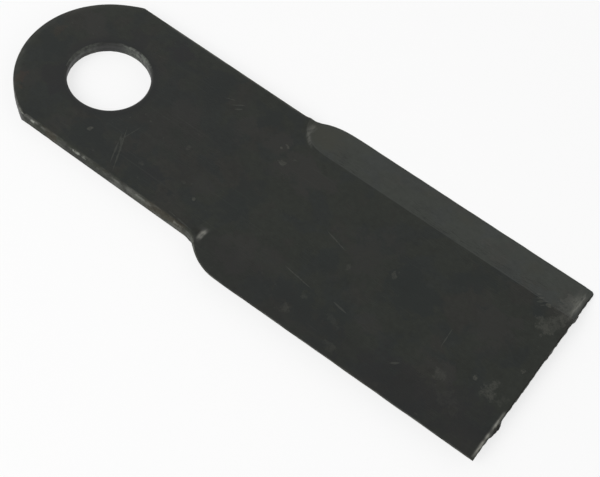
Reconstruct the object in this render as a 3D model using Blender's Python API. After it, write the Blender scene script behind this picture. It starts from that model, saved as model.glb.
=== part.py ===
"""A mulcher blade: one swinging steel knife, forged from a length of flat bar.

The head is cropped round and pierced for the pivot bolt. Beyond the shank both long edges are
pressed into wedges, one from above and the other from below, and the squeezed metal spreads, so
that the blade is wider than the bar. The tip is sheared off square and left as it came from the
shear. Turned over about its length the blade looks the same, so that either edge can lead.

The origin is the centre of the pivot hole on the lower face. +X runs along the blade to the tip,
+Y to the side whose wedge is on top, and +Z up through the thickness. Lengths are in metres.
"""

import math

import bmesh
import bpy
import numpy as np

# The flat bar
BAR_WIDTH = 0.0604
THICKNESS = 0.0040
BAR_EDGE_RADIUS = 0.0012
BAR_DRIFT = 0.0004  # the bar's middle line runs this far beside the hole's centre

# The head
HOLE_DIAMETER = 0.0270
HOLE_ROLL = 0.0009  # the rounded lip where the punch went in
HOLE_TEAR = 0.0002  # the hole is this much wider, all round, where the slug tore out
CROP_OVERSIZE = 0.0017  # the round cropping die is this much larger than half the bar
CROP_CENTRE = 0.0016  # the die's centre, ahead of the hole's
CROP_ROLL = 0.0005

# The pressed blade
SPREAD_START = 0.0559  # where the bar's side begins to bulge
PRESS_START = 0.0585  # where the press begins to bite
PRESS_MISMATCH = 0.0008  # the tool above bites this much further on, the one below this much less
RUNOUT_LENGTH = 0.0107  # from the first bite to the wedge's full width
RISER_ANGLE = math.radians(35)  # how steeply the rounded end of the wedge drops from the face
EDGE_SPREAD = 0.00685  # how far each edge is squeezed outwards
ROOT_RADIUS = 0.0070  # the hollow corner where the outline leaves the bar
CROWN_RADIUS = 0.0188  # the long round shoulder after it
BEVEL_WIDTH = 0.0156
CUTTING_EDGE = 0.0004  # the thickness left at the cutting edge
BLADE_DRIFT = -0.00035  # the blade's middle line, beside the hole's centre, at the shoulder
BLADE_TURN = math.radians(0.6)  # and the angle it runs off at

# The sheared tip
TIP_DISTANCE = 0.1648  # from the hole's centre to the tip, on the hole's own line
TIP_SLANT = math.radians(0.56)
TIP_ROLL = 0.0004
TIP_CORNER_RADIUS = 0.0018  # on the side whose wedge is on top
BURR_HEIGHT = 0.0008  # the long burr, near the lower wedge
BURR_HALF_LENGTH = 0.0042
BURR_INSET = 0.0144  # from the cutting edge on its side
NIB_HEIGHT = 0.00045  # the short one, near the upper wedge
NIB_HALF_LENGTH = 0.0021
NIB_INSET = 0.0122

# Mesh
END_SPARE = 0.0040  # the bar left for the dies to crop away at either end
CUT_SPARE = 0.0020  # how far a die reaches past the faces that it cuts
ROW_GAP = 0.0003  # the least room between two lines of points on a face
ROUND_STEPS = 4
FACE_STEPS = 3
RISER_STEPS = 3
LONG_STEPS = 6
SHOULDER_STEPS = 22
FINE_STEPS = 7
FINE_REACH = 0.0030  # the sections stand closer over this length
STATION_GAP = 0.00009
HOLE_SEGMENTS = 72
HEAD_SEGMENTS = 48
SHEAR_STEPS = 84

STEEL_COLOUR = (0.040, 0.042, 0.038, 1.0)
STEEL_ROUGHNESS = 0.62
STEEL_METALLIC = 0.35

BEVEL_SLOPE = (THICKNESS - CUTTING_EDGE) / BEVEL_WIDTH
BLADE_HALF_WIDTH = BAR_WIDTH / 2 + EDGE_SPREAD
BEVEL_LINE = BLADE_HALF_WIDTH - BEVEL_WIDTH
BEVEL_FULL = PRESS_START + RUNOUT_LENGTH
RUNOUT_WIDTH = BAR_WIDTH / 2 - BEVEL_LINE
CROP_RADIUS = BAR_WIDTH / 2 + CROP_OVERSIZE


def clear_scene():
    for thing in list(bpy.data.objects):
        bpy.data.objects.remove(thing, do_unlink=True)


def shoulder_angle():
    """The steepest angle of the outline, where the hollow corner meets the round shoulder."""
    return math.acos(1 - EDGE_SPREAD / (ROOT_RADIUS + CROWN_RADIUS))


def shoulder_end():
    return SPREAD_START + (ROOT_RADIUS + CROWN_RADIUS) * math.sin(shoulder_angle())


def half_width(x):
    """Half the width at x: the bar, an S of a hollow and a crowned arc, then the blade."""
    end = shoulder_end()
    joint = SPREAD_START + ROOT_RADIUS * math.sin(shoulder_angle())
    into_root = min(max(x - SPREAD_START, 0.0), ROOT_RADIUS)
    into_crown = min(max(end - x, 0.0), CROWN_RADIUS)
    hollow = ROOT_RADIUS - math.sqrt(ROOT_RADIUS**2 - into_root**2)
    crown = CROWN_RADIUS - math.sqrt(CROWN_RADIUS**2 - into_crown**2)
    if x < joint:
        return BAR_WIDTH / 2 + hollow
    return BLADE_HALF_WIDTH - crown


def middle_line(x):
    """The y of the middle line at x: the bar's drift, eased into the blade's slightly turned line."""
    end = shoulder_end()
    share = min(max((x - PRESS_START) / (end - PRESS_START), 0.0), 1.0)
    ease = share * share * (3 - 2 * share)
    blade = BLADE_DRIFT + math.tan(BLADE_TURN) * (x - end)
    return BAR_DRIFT + ease * (blade - BAR_DRIFT)


def border(x):
    """How far out the wedge's border lies: the bevel line, then a quarter ellipse out to the side."""
    back = min(max((BEVEL_FULL - x) / RUNOUT_LENGTH, 0.0), 1.0)
    return BEVEL_LINE + RUNOUT_WIDTH * (1 - math.sqrt(1 - back**2))


def riser_depth(x, out):
    """The depth of the wedge's rounded end: a steady drop inwards from its elliptical border.

    Past the bar's own side it only follows the wedge's slope, so that the two meet along one line.
    """
    back = max((BEVEL_FULL - x) / RUNOUT_LENGTH, 0.0)
    short = max((BAR_WIDTH / 2 - out) / RUNOUT_WIDTH, 0.0)
    inside = (1 - math.hypot(back, short)) * (RUNOUT_LENGTH + RUNOUT_WIDTH) / 2
    beyond = max(out - BAR_WIDTH / 2, 0.0)
    return math.tan(RISER_ANGLE) * inside + BEVEL_SLOPE * beyond


def flat_depth(out):
    return BEVEL_SLOPE * (out - BEVEL_LINE)


def pressed_depth(x, out):
    """How deep the press has sunk the face at x and at the distance out from the middle line."""
    return max(0.0, min(flat_depth(out), riser_depth(x, out)))


def valley(x, limit):
    """How far out, up to the limit, the rounded end runs out onto the wedge's flat, by halving."""
    low, high = border(x), limit
    for _ in range(30):
        middle = (low + high) / 2
        if riser_depth(x, middle) < flat_depth(middle):
            low = middle
        else:
            high = middle
    return high


def quarter_round(centre, radius, start):
    """The points of a quarter circle that turns clockwise from the angle start."""
    angles = np.radians(np.linspace(start, start - 90, ROUND_STEPS + 1))
    return [(centre[0] + radius * math.cos(a), centre[1] + radius * math.sin(a)) for a in angles]


def half_section(x):
    """Half the section at x, as (out, z) points from the upper face round the edge to the lower."""
    wide = half_width(x)
    wall = THICKNESS - pressed_depth(x, wide)
    radius = min(BAR_EDGE_RADIUS, wall / 2.2)
    inner = wide - radius
    first = min(border(x), inner - 2 * ROW_GAP)
    second = min(max(valley(x, wide), first + ROW_GAP), inner - ROW_GAP)
    bounds = (0.0, first, second, inner)
    steps = (FACE_STEPS, RISER_STEPS, FACE_STEPS)
    zones = [np.linspace(a, b, n, endpoint=False) for a, b, n in zip(bounds, bounds[1:], steps)]
    upper = [(out, THICKNESS - pressed_depth(x, out)) for out in np.concatenate(zones)]
    top_round = quarter_round((inner, wall - radius), radius, 90)
    low_round = quarter_round((inner, radius), radius, 0)
    lower = [(out, 0.0) for out in np.linspace(inner, 0, FACE_STEPS + 1)[1:-1]]
    return upper + top_round + low_round + lower


def ring(x):
    """The whole section: one half, and the other half turned over about the blade's length."""
    middle = middle_line(x)
    near = [(x, middle + out, z) for out, z in half_section(x - PRESS_MISMATCH)]
    far = [(x, middle - out, THICKNESS - z) for out, z in half_section(x + PRESS_MISMATCH)]
    return near + far


def riser_foot():
    """Where the foot of the wedge's riser comes in from the bar's side."""
    inside = flat_depth(BAR_WIDTH / 2) / math.tan(RISER_ANGLE)
    return PRESS_START + RUNOUT_LENGTH * 2 * inside / (RUNOUT_LENGTH + RUNOUT_WIDTH)


def stations():
    """The places along the bar where a section is drawn, closer together through the shoulder.

    The wedge's border and the foot of its riser start square to the side, so from there the
    sections follow at the squares of even steps.
    """
    start = min(SPREAD_START, PRESS_START) - PRESS_MISMATCH
    end = max(shoulder_end(), BEVEL_FULL) + PRESS_MISMATCH
    squares = FINE_REACH * np.linspace(0, 1, FINE_STEPS) ** 2
    shoulder = [*np.linspace(start, end, SHOULDER_STEPS)]
    for turn in (PRESS_START, riser_foot()):
        shoulder += [*(turn - PRESS_MISMATCH + squares), *(turn + PRESS_MISMATCH + squares)]
    spaced = [start]
    for x in sorted(shoulder):
        if x - spaced[-1] > STATION_GAP and end - x > STATION_GAP:
            spaced.append(x)
    bar = np.linspace(CROP_CENTRE - CROP_RADIUS - END_SPARE, start, LONG_STEPS + 1)[:-1]
    blade = np.linspace(end, TIP_DISTANCE + END_SPARE, LONG_STEPS + 1)
    return [*bar, *spaced, *blade]


def new_object(name, bm):
    bmesh.ops.recalc_face_normals(bm, faces=bm.faces)
    mesh = bpy.data.meshes.new(name)
    bm.to_mesh(mesh)
    bm.free()
    thing = bpy.data.objects.new(name, mesh)
    bpy.context.scene.collection.objects.link(thing)
    return thing


def pressed_bar():
    """The bar after the press: its sections joined from end to end and closed."""
    bm = bmesh.new()
    rings = [[bm.verts.new(point) for point in ring(x)] for x in stations()]
    count = len(rings[0])
    for this, following in zip(rings, rings[1:]):
        for i in range(count):
            j = (i + 1) % count
            bm.faces.new((this[i], this[j], following[j], following[i]))
    bm.faces.new(rings[0])
    bm.faces.new(rings[-1])
    return new_object("mulcher_blade", bm)


def as_cutter(thing):
    thing.hide_render = True
    thing.display_type = "WIRE"
    return thing


def spun(name, profile, centre, sweep, segments):
    """A profile of (radius, z) points turned about a vertical axis, whole or in part."""
    bm = bmesh.new()
    line = [bm.verts.new((0.0, radius, z)) for radius, z in profile]
    if profile[0][0] > 0:
        line.append(line[0])
    edges = [bm.edges.new(pair) for pair in zip(line, line[1:])]
    bmesh.ops.spin(
        bm,
        geom=line[: len(profile)] + edges,
        cent=(0, 0, 0),
        axis=(0, 0, 1),
        angle=sweep,
        steps=segments,
        use_duplicate=False,
    )
    bmesh.ops.remove_doubles(bm, verts=bm.verts, dist=1e-6)
    bmesh.ops.holes_fill(bm, edges=[edge for edge in bm.edges if edge.is_boundary], sides=0)
    thing = new_object(name, bm)
    thing.location = (*centre, 0)
    return as_cutter(thing)


def punch():
    """The pivot hole: a rounded lip on top, a straight land, and a wider torn part below."""
    radius = HOLE_DIAMETER / 2
    roll = min(HOLE_ROLL, THICKNESS / 3)
    lip = quarter_round((radius + roll, THICKNESS - roll), roll, 180)
    profile = [(0, -CUT_SPARE), (radius + HOLE_TEAR, -CUT_SPARE), (radius + HOLE_TEAR, 0)]
    profile += [(radius, THICKNESS / 3), *lip]
    profile += [(radius + roll, THICKNESS + CUT_SPARE), (0, THICKNESS + CUT_SPARE)]
    return spun("hole_punch", profile, (0, 0), math.tau, HOLE_SEGMENTS)


def cropping_die():
    """What crops the head: half a ring whose inner wall leaves a rounded upper edge."""
    roll = min(CROP_ROLL, THICKNESS / 3)
    outer = math.hypot(CROP_RADIUS + END_SPARE, CROP_RADIUS) + END_SPARE
    lip = [(2 * CROP_RADIUS - 2 * roll - r, z) for r, z in
           quarter_round((CROP_RADIUS - roll, THICKNESS - roll), roll, 180)]
    profile = [(outer, -CUT_SPARE), (CROP_RADIUS, -CUT_SPARE), *lip]
    profile += [(CROP_RADIUS - roll, THICKNESS + CUT_SPARE), (outer, THICKNESS + CUT_SPARE)]
    return spun("cropping_die", profile, (CROP_CENTRE, BAR_DRIFT), math.pi, HEAD_SEGMENTS)


def burr(y, z):
    """How far the shear dragged the lower edge out at y: a short swelling on either side."""
    middle = middle_line(TIP_DISTANCE)
    long_burr = (y - middle + BLADE_HALF_WIDTH - BURR_INSET) / BURR_HALF_LENGTH
    short_nib = (y - middle - BLADE_HALF_WIDTH + NIB_INSET) / NIB_HALF_LENGTH
    swelling = BURR_HEIGHT * max(0.0, 1 - long_burr**2) + NIB_HEIGHT * max(0.0, 1 - short_nib**2)
    return swelling * max(0.0, 1 - 2 * z / THICKNESS)


def tip_corner(y):
    """How far the tip is rounded back at y, on the side whose wedge is on top."""
    start = middle_line(TIP_DISTANCE) + BLADE_HALF_WIDTH - TIP_CORNER_RADIUS
    past = min(max(y - start, 0.0), 0.98 * TIP_CORNER_RADIUS)
    return TIP_CORNER_RADIUS - math.sqrt(TIP_CORNER_RADIUS**2 - past**2)


def tip_shear():
    """What shears the tip: a block whose cutting wall holds the roll, the burrs and the corner."""
    roll = min(TIP_ROLL, THICKNESS / 3)
    reach = BLADE_HALF_WIDTH + 2 * CUT_SPARE
    middle = middle_line(TIP_DISTANCE)
    heights = [-CUT_SPARE, 0.0, THICKNESS / 4, THICKNESS / 2]
    heights += [THICKNESS - roll, THICKNESS - 0.3 * roll, THICKNESS, THICKNESS + CUT_SPARE]
    across = list(np.linspace(middle - reach, middle + reach, SHEAR_STEPS + 1))
    bm = bmesh.new()
    wall = []
    for z in heights:
        into_roll = min(max(z - (THICKNESS - roll), 0.0), roll)
        back = roll - math.sqrt(roll**2 - into_roll**2)
        row = []
        for y in across:
            x = TIP_DISTANCE + math.tan(TIP_SLANT) * y - back - tip_corner(y) + burr(y, max(z, 0.0))
            row.append(bm.verts.new((x, y, z)))
        wall.append(row)
    for below, above in zip(wall, wall[1:]):
        for i in range(len(across) - 1):
            bm.faces.new((below[i], below[i + 1], above[i + 1], above[i]))
    rim = [edge for edge in bm.edges if edge.is_boundary]
    pulled = bmesh.ops.extrude_edge_only(bm, edges=rim)["geom"]
    for vert in (item for item in pulled if isinstance(item, bmesh.types.BMVert)):
        vert.co.x = TIP_DISTANCE + 3 * END_SPARE
    bmesh.ops.holes_fill(bm, edges=[edge for edge in bm.edges if edge.is_boundary], sides=0)
    return as_cutter(new_object("tip_shear", bm))


def steel():
    material = bpy.data.materials.new("forged_steel")
    material.use_nodes = True
    shader = material.node_tree.nodes["Principled BSDF"]
    shader.inputs["Base Color"].default_value = STEEL_COLOUR
    shader.inputs["Roughness"].default_value = STEEL_ROUGHNESS
    shader.inputs["Metallic"].default_value = STEEL_METALLIC
    return material


def cut(thing, cutter):
    modifier = thing.modifiers.new(cutter.name, "BOOLEAN")
    modifier.operation = "DIFFERENCE"
    modifier.object = cutter


def main():
    clear_scene()
    blade = pressed_bar()
    for cutter in (cropping_die(), punch(), tip_shear()):
        cut(blade, cutter)
    blade.data.materials.append(steel())
    blade.data.shade_smooth()
    blade.data.set_sharp_from_angle(angle=math.radians(25))


main()
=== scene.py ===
# %% [markdown]
# # A forged mulcher blade, lit on a white table
#
# The blade is one piece of flat bar: a round head with a punched hole, a plain shank, and a wider
# part whose long edges were pressed into wedges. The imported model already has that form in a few
# thousand flat facets. This script keeps the form and gives it the surface of the real thing:
# soft rolled corners, torn and burnished cuts, forging scale in dull tints, and the small marks
# that a blade picks up on its way to the shelf.

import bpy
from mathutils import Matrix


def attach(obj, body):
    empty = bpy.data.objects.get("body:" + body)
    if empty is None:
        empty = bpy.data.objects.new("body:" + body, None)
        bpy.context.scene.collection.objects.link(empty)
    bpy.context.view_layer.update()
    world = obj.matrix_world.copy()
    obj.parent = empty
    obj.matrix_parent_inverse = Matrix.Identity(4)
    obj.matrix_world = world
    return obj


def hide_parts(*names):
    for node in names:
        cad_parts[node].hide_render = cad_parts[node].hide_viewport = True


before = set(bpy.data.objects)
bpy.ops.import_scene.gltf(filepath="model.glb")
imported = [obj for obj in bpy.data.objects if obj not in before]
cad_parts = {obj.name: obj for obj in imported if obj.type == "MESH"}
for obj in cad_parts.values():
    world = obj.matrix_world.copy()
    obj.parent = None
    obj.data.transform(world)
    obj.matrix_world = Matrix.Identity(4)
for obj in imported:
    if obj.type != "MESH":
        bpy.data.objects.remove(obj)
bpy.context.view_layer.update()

# %% Blender's modules, and the unit
import math

import bmesh
import bpy
import numpy as np
from mathutils import Matrix, Vector

MM = 0.001

# %% [markdown]
# ## The camera
#
# The photograph looks down on the blade from beside its tip, with a long lens held slightly
# askew. A camera could be aimed by hand, but four named angles and a distance are easier to
# read and to change: where it looks, how far off it stands, and how it is turned and tilted.

# %% Put the camera where the photograph was taken
CAMERA_TARGET = Vector((82.87 * MM, -6.82 * MM, 0))
CAMERA_DISTANCE = 392.1 * MM
CAMERA_TURN = math.radians(24.68)
CAMERA_DIP = math.radians(57.21)
CAMERA_TILT = math.radians(13.68)
CAMERA_LENS = 76.15


def camera_axes(turn, dip, tilt):
    """The camera's right, up and forward: a compass turn, then a dip, then a tilt about the view."""
    forward = Vector((-math.sin(turn) * math.cos(dip), math.cos(turn) * math.cos(dip), -math.sin(dip)))
    level = Vector((math.cos(turn), math.sin(turn), 0))
    upright = level.cross(forward)
    right = math.cos(tilt) * level + math.sin(tilt) * upright
    up = math.cos(tilt) * upright - math.sin(tilt) * level
    return right, up, forward


def add_camera():
    """Puts the camera at its distance behind the target, looking along the view."""
    right, up, forward = camera_axes(CAMERA_TURN, CAMERA_DIP, CAMERA_TILT)
    camera = bpy.data.objects.new("camera", bpy.data.cameras.new("camera"))
    turned = Matrix((right, up, -forward)).transposed().to_4x4()
    camera.matrix_world = Matrix.Translation(CAMERA_TARGET - CAMERA_DISTANCE * forward) @ turned
    camera.data.lens = CAMERA_LENS
    bpy.context.scene.collection.objects.link(camera)
    bpy.context.scene.camera = camera
    return camera


print("the camera stands at", tuple(round(v, 4) for v in add_camera().location))

# %% [markdown]
# ## The sizes of the blade
#
# These are the sizes that the blade was designed with. Everything below is worked out from them,
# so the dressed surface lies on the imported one. A few more are added, whose forms are too
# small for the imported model, such as the rolled lip and the torn half of the punched hole.

# %% Driving sizes
THICKNESS = 4.0 * MM
BAR_HALF = 30.2 * MM
BAR_EDGE_RADIUS = 1.2 * MM
BAR_DRIFT = 0.4 * MM  # the bar's middle line runs this far beside the hole's centre

HOLE_RADIUS = 13.5 * MM
HOLE_ROLL = 0.9 * MM
HOLE_TEAR = 0.2 * MM
CROP_RADIUS = 31.9 * MM
CROP_CENTRE = 1.6 * MM
CROP_ROLL = 0.5 * MM
CROP_FOOT = 0.12 * MM  # the far smaller rounding where the die broke through
CROP_FLARES = (0.3 * MM, 0.5 * MM)  # how far the two corners of the crop stand proud, +Y first

SPREAD_START = 55.9 * MM
PRESS_START = 58.5 * MM
PRESS_MISMATCH = 0.8 * MM
RUNOUT_LENGTH = 10.7 * MM
RISER_SLOPE = math.tan(math.radians(35))
EDGE_SPREAD = 6.85 * MM
ROOT_RADIUS = 7.0 * MM
CROWN_RADIUS = 18.8 * MM
BEVEL_WIDTH = 15.6 * MM
CUTTING_EDGE = 0.4 * MM
BLADE_DRIFT = -0.35 * MM
BLADE_TURN = math.radians(0.6)

TIP_DISTANCE = 164.8 * MM
TIP_SLANT = math.radians(0.56)
TIP_ROLL = 0.4 * MM
TIP_CORNER_RADIUS = 1.3 * MM
BURR_HEIGHT = 0.8 * MM
BURR_HALF_LENGTH = 4.2 * MM
BURR_INSET = 14.4 * MM
NIB_HEIGHT = 0.45 * MM
NIB_HALF_LENGTH = 2.1 * MM
NIB_INSET = 12.2 * MM

BLADE_HALF = BAR_HALF + EDGE_SPREAD
BEVEL_SLOPE = (THICKNESS - CUTTING_EDGE) / BEVEL_WIDTH
BEVEL_LINE = BLADE_HALF - BEVEL_WIDTH
BEVEL_FULL = PRESS_START + RUNOUT_LENGTH
RUNOUT_WIDTH = BAR_HALF - BEVEL_LINE
SHOULDER_ANGLE = math.acos(1 - EDGE_SPREAD / (ROOT_RADIUS + CROWN_RADIUS))
SHOULDER_JOINT = SPREAD_START + ROOT_RADIUS * math.sin(SHOULDER_ANGLE)
SHOULDER_END = SPREAD_START + (ROOT_RADIUS + CROWN_RADIUS) * math.sin(SHOULDER_ANGLE)
print("the shoulder ends", round(SHOULDER_END / MM, 2), "mm from the hole's centre")

# %% [markdown]
# ## The form as two height fields
#
# A pressed blade has no undercuts, so its faces can be given as two heights over the plan: how
# high the upper face stands at a point, and how high the lower one. Modelling it by hand with
# bevels would give the same silhouette, but not the long run-out of the wedges, whose border is a
# quarter ellipse. As formulas the whole blade is a few lines, and turning it over is one minus
# sign: the lower face on one side is the upper face on the other.

# %% The outline and the pressed depth, for whole arrays at once


def half_width(x):
    """Half the width at x: the bar, a hollow arc, a crowned arc that meets it on a slope, the blade."""
    into_root = np.clip(x - SPREAD_START, 0, ROOT_RADIUS)
    into_crown = np.clip(SHOULDER_END - x, 0, CROWN_RADIUS)
    hollow = ROOT_RADIUS - np.sqrt(ROOT_RADIUS**2 - into_root**2)
    crown = CROWN_RADIUS - np.sqrt(CROWN_RADIUS**2 - into_crown**2)
    return np.where(x < SHOULDER_JOINT, BAR_HALF + hollow, BLADE_HALF - crown)


def eased(share):
    """An S-shaped ramp from 0 to 1: three times the square less twice the cube."""
    share = np.clip(share, 0, 1)
    return share * share * (3 - 2 * share)


def middle_line(x):
    """The y of the middle line: the bar's drift, eased into the blade's slightly turned line."""
    share = eased((x - PRESS_START) / (SHOULDER_END - PRESS_START))
    blade = BLADE_DRIFT + math.tan(BLADE_TURN) * (x - SHOULDER_END)
    return BAR_DRIFT + share * (blade - BAR_DRIFT)


def soft_least(a, b, blend):
    """The lesser of two heights, with a parabola across the corner where they come within blend."""
    near = np.clip(1 - np.abs(a - b) / blend, 0, 1)
    return np.minimum(a, b) - near * near * blend / 4


def pressed_depth(x, out):
    """How far the press sank the face: the lesser of the wedge's slope and its rounded riser."""
    back = np.maximum((BEVEL_FULL - x) / RUNOUT_LENGTH, 0)
    short = np.maximum((BAR_HALF - out) / RUNOUT_WIDTH, 0)
    inside = (1 - np.hypot(back, short)) * (RUNOUT_LENGTH + RUNOUT_WIDTH) / 2
    riser = RISER_SLOPE * inside + BEVEL_SLOPE * np.maximum(out - BAR_HALF, 0)
    wedge = BEVEL_SLOPE * (out - BEVEL_LINE)
    sunk = soft_least(wedge, riser, 0.35 * MM)
    return -soft_least(-sunk, 0 * sunk, 0.05 * MM)


def depth_above(x, y):
    """How far the upper face is pressed down: only on the side towards +Y."""
    out = y - middle_line(x)
    return np.where(out > 0, pressed_depth(x - PRESS_MISMATCH, np.abs(out)), 0)


def depth_below(x, y):
    """How far the lower face is pressed up: only on the side towards -Y."""
    out = middle_line(x) - y
    return np.where(out > 0, pressed_depth(x + PRESS_MISMATCH, np.abs(out)), 0)


for place in (62 * MM, 66 * MM, 90 * MM):
    edge = half_width(np.array(place))
    thick = float(THICKNESS - pressed_depth(place, edge)) / MM
    print("at", round(place / MM), "mm the edge is", round(thick, 2), "mm thick")

# %% [markdown]
# ## Surfaces as grids
#
# Every surface below is a grid of points, one array for a whole patch. Patches that share a
# border compute the same points there, so they can simply be welded. The bar's blade end is a
# set of closed loops strung along the length. The head is a ring of rays from the hole to the
# outline, because loops that run round the hole follow its rolled lip.

# %% Spacing along and across the blade
HEAD_END = 34 * MM  # where the ring of rays hands over to the loops along the blade
ROUND_STEPS = 6
WALL_STEPS = 8
RAY_STEPS = 22
LIP = np.sin(np.linspace(0, math.pi / 2, ROUND_STEPS + 1))
LIP_DROP = 1 - np.cos(np.linspace(0, math.pi / 2, ROUND_STEPS + 1))


def runs(*stretches):
    """Joins evenly spaced stretches, each given as (from, to, longest step)."""
    parts = [np.linspace(a, b, math.ceil(abs(b - a) / step) + 1)[:-1] for a, b, step in stretches]
    return np.concatenate([*parts, [stretches[-1][1]]])


STATIONS = runs(
    (HEAD_END, 54 * MM, 1.25 * MM),
    (54 * MM, 57 * MM, 0.4 * MM),
    (57 * MM, 63.5 * MM, 0.16 * MM),
    (63.5 * MM, 73 * MM, 0.35 * MM),
    (73 * MM, 157 * MM, 1.5 * MM),
    (157 * MM, TIP_DISTANCE - TIP_ROLL, 0.35 * MM),
)
FACE_ROWS = runs((0, 0.9, 1 / 40), (0.9, 1, 0.02))
WEDGE_ROWS = runs((0, 0.06, 0.012), (0.06, 1, 0.025))[1:]
print(len(STATIONS), "stations and", len(FACE_ROWS) + len(WEDGE_ROWS), "rows on half a face")


def half_rows(x, side):
    """Plan distances from the middle line at stations x, face rows first, then round the edge.

    Up to the bevel line the rows are spread evenly, and from there to the start of the edge's
    rounding again. The last ones follow a quarter circle, so they crowd towards the edge.
    """
    wide = half_width(x - side * PRESS_MISMATCH)[:, None]
    wall = THICKNESS - pressed_depth(x[:, None] - side * PRESS_MISMATCH, wide)
    radius = np.minimum(BAR_EDGE_RADIUS, wall / 2.2)
    inner = wide - radius
    out = np.concatenate([
        BEVEL_LINE * FACE_ROWS[None, :] + 0 * wide,
        BEVEL_LINE + (inner - BEVEL_LINE) * WEDGE_ROWS[None, :],
        inner + radius * LIP[None, 1:],
    ], axis=1)
    drop = np.concatenate([0 * out[:, : -ROUND_STEPS], radius * LIP_DROP[None, 1:]], axis=1)
    return out, drop


# %% [markdown]
# ## The sheared tip
#
# A guillotine pulls the upper corner down a little before it cuts, and the last of the metal
# tears and drags out a burr below. So the end is not a flat cap: its line in plan is slanted,
# rounded at one corner and swollen at two places near the lower face.

# %% The tip's line, its roll and its burrs


def tip_line(y):
    """How far the blade reaches at y: a slanted line, less a quarter circle at the upper corner."""
    start = middle_line(TIP_DISTANCE) + BLADE_HALF - TIP_CORNER_RADIUS
    past = np.clip(y - start, 0, 0.98 * TIP_CORNER_RADIUS)
    corner = TIP_CORNER_RADIUS - np.sqrt(TIP_CORNER_RADIUS**2 - past**2)
    return TIP_DISTANCE + math.tan(TIP_SLANT) * y - corner


def burr(y):
    """How far the shear dragged the lower edge out: one long and one short parabola."""
    middle = middle_line(TIP_DISTANCE)
    long_burr = (y - middle + BLADE_HALF - BURR_INSET) / BURR_HALF_LENGTH
    short_nib = (y - middle - BLADE_HALF + NIB_INSET) / NIB_HALF_LENGTH
    return BURR_HEIGHT * np.clip(1 - long_burr**2, 0, 1) + NIB_HEIGHT * np.clip(1 - short_nib**2, 0, 1)


print("the tip's line lies", round(float(tip_line(0)) / MM, 2), "mm from the hole's centre")

# %% The faces of both halves, as grids


def blade_half(side):
    """The upper and lower face of one half, rolled at the tip, as two grids of points."""
    out, drop = half_rows(STATIONS, side)
    station = STATIONS[:, None] + 0 * out
    y = middle_line(station) + side * out
    high = THICKNESS - depth_above(station, y) - drop
    low = depth_below(station, y) + drop
    roll = np.minimum(TIP_ROLL, (high[-1] - low[-1]) / 2.2)
    end = tip_line(y[-1]) - roll
    square = STATIONS[-1] - TIP_CORNER_RADIUS * 6
    share = np.clip((station - square) / (STATIONS[-1] - square), 0, 1)
    x = station + share * (end - STATIONS[-1])
    last_x = end + roll * LIP[1:, None]
    last_y = np.tile(y[-1], (ROUND_STEPS, 1))
    last_high = high[-1] - roll * LIP_DROP[1:, None]
    last_low = np.tile(low[-1], (ROUND_STEPS, 1))
    dragged = last_x + burr(y[-1]) * LIP[1:, None]
    upper = np.stack([np.vstack([x, last_x]), np.vstack([y, last_y]), np.vstack([high, last_high])], -1)
    lower = np.stack([np.vstack([x, dragged]), np.vstack([y, last_y]), np.vstack([low, last_low])], -1)
    return upper, lower


def between(first, last, steps):
    """A grid that runs straight from one line of points to another."""
    share = np.linspace(0, 1, steps + 1)[None, :, None]
    return first[:, None, :] * (1 - share) + last[:, None, :] * share


def tip_cap(upper, lower):
    """The sheared end: down from the upper edge, swelling towards the burr in its lower half."""
    cap = between(upper, lower, WALL_STEPS)
    share = np.clip(2 * np.linspace(0, 1, WALL_STEPS + 1) - 1, 0, 1)
    cap[..., 0] = upper[:, None, 0] + (lower[:, 0] - upper[:, 0])[:, None] * share[None, :]
    return cap


near_upper, near_lower = blade_half(1)
far_upper, far_lower = blade_half(-1)
blade_upper = np.concatenate([far_upper[:, :0:-1], near_upper], axis=1)
blade_lower = np.concatenate([far_lower[:, :0:-1], near_lower], axis=1)
print("one face of the blade is a grid of", blade_upper.shape[:2], "points")

# %% [markdown]
# ## The head
#
# The head was cropped and the hole was punched, both from above. Where a punch goes in, the
# metal rolls over in a smooth lip. Then comes a burnished band, and where the slug broke away
# the wall is torn and slightly wider.

# %% Rays from the hole to the outline


def head_outline():
    """The head's outline from the near side round the crop to the far side.

    Returns the points, their inward normals and a share that is 0 on the straight sides and rises
    to 1 on the cropped arc. At a corner the normal is halfway between its neighbours.
    """
    corners = [math.asin(BAR_HALF / (CROP_RADIUS + flare)) for flare in CROP_FLARES]
    turn = np.linspace(math.pi - corners[0], math.pi + corners[1], 112)
    past = CROP_RADIUS * np.minimum(turn - turn[0], turn[-1] - turn)
    outward = np.stack([np.cos(turn), np.sin(turn)], -1)
    flare = np.where(turn < math.pi, *CROP_FLARES)
    reach = CROP_RADIUS + flare * np.exp(-((past / (4 * MM)) ** 2))
    arc = np.array([CROP_CENTRE, BAR_DRIFT]) + reach[:, None] * outward
    side_x = np.linspace(HEAD_END, arc[0, 0], 44)
    side_y = BAR_HALF + 0 * side_x
    near = np.stack([side_x, BAR_DRIFT + side_y], -1)
    far = np.stack([side_x, BAR_DRIFT - side_y], -1)[::-1]
    points = np.concatenate([near, arc[1:-1], far])
    normals = np.concatenate([0 * near - [0, 1], -outward[1:-1], 0 * far + [0, 1]])
    for at in (len(near) - 1, len(points) - len(far)):
        halfway = normals[at - 1] + normals[at + 1]
        normals[at] = halfway / np.hypot(*halfway)
    cropped = np.zeros(len(points))
    cropped[len(near):-len(far)] = eased(past[1:-1] / (0.9 * MM))
    return points, normals, cropped


outline, inward, cropped = head_outline()
print("the head's outline has", len(outline), "points")

# %% The strips and faces that hang on the rays


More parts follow.
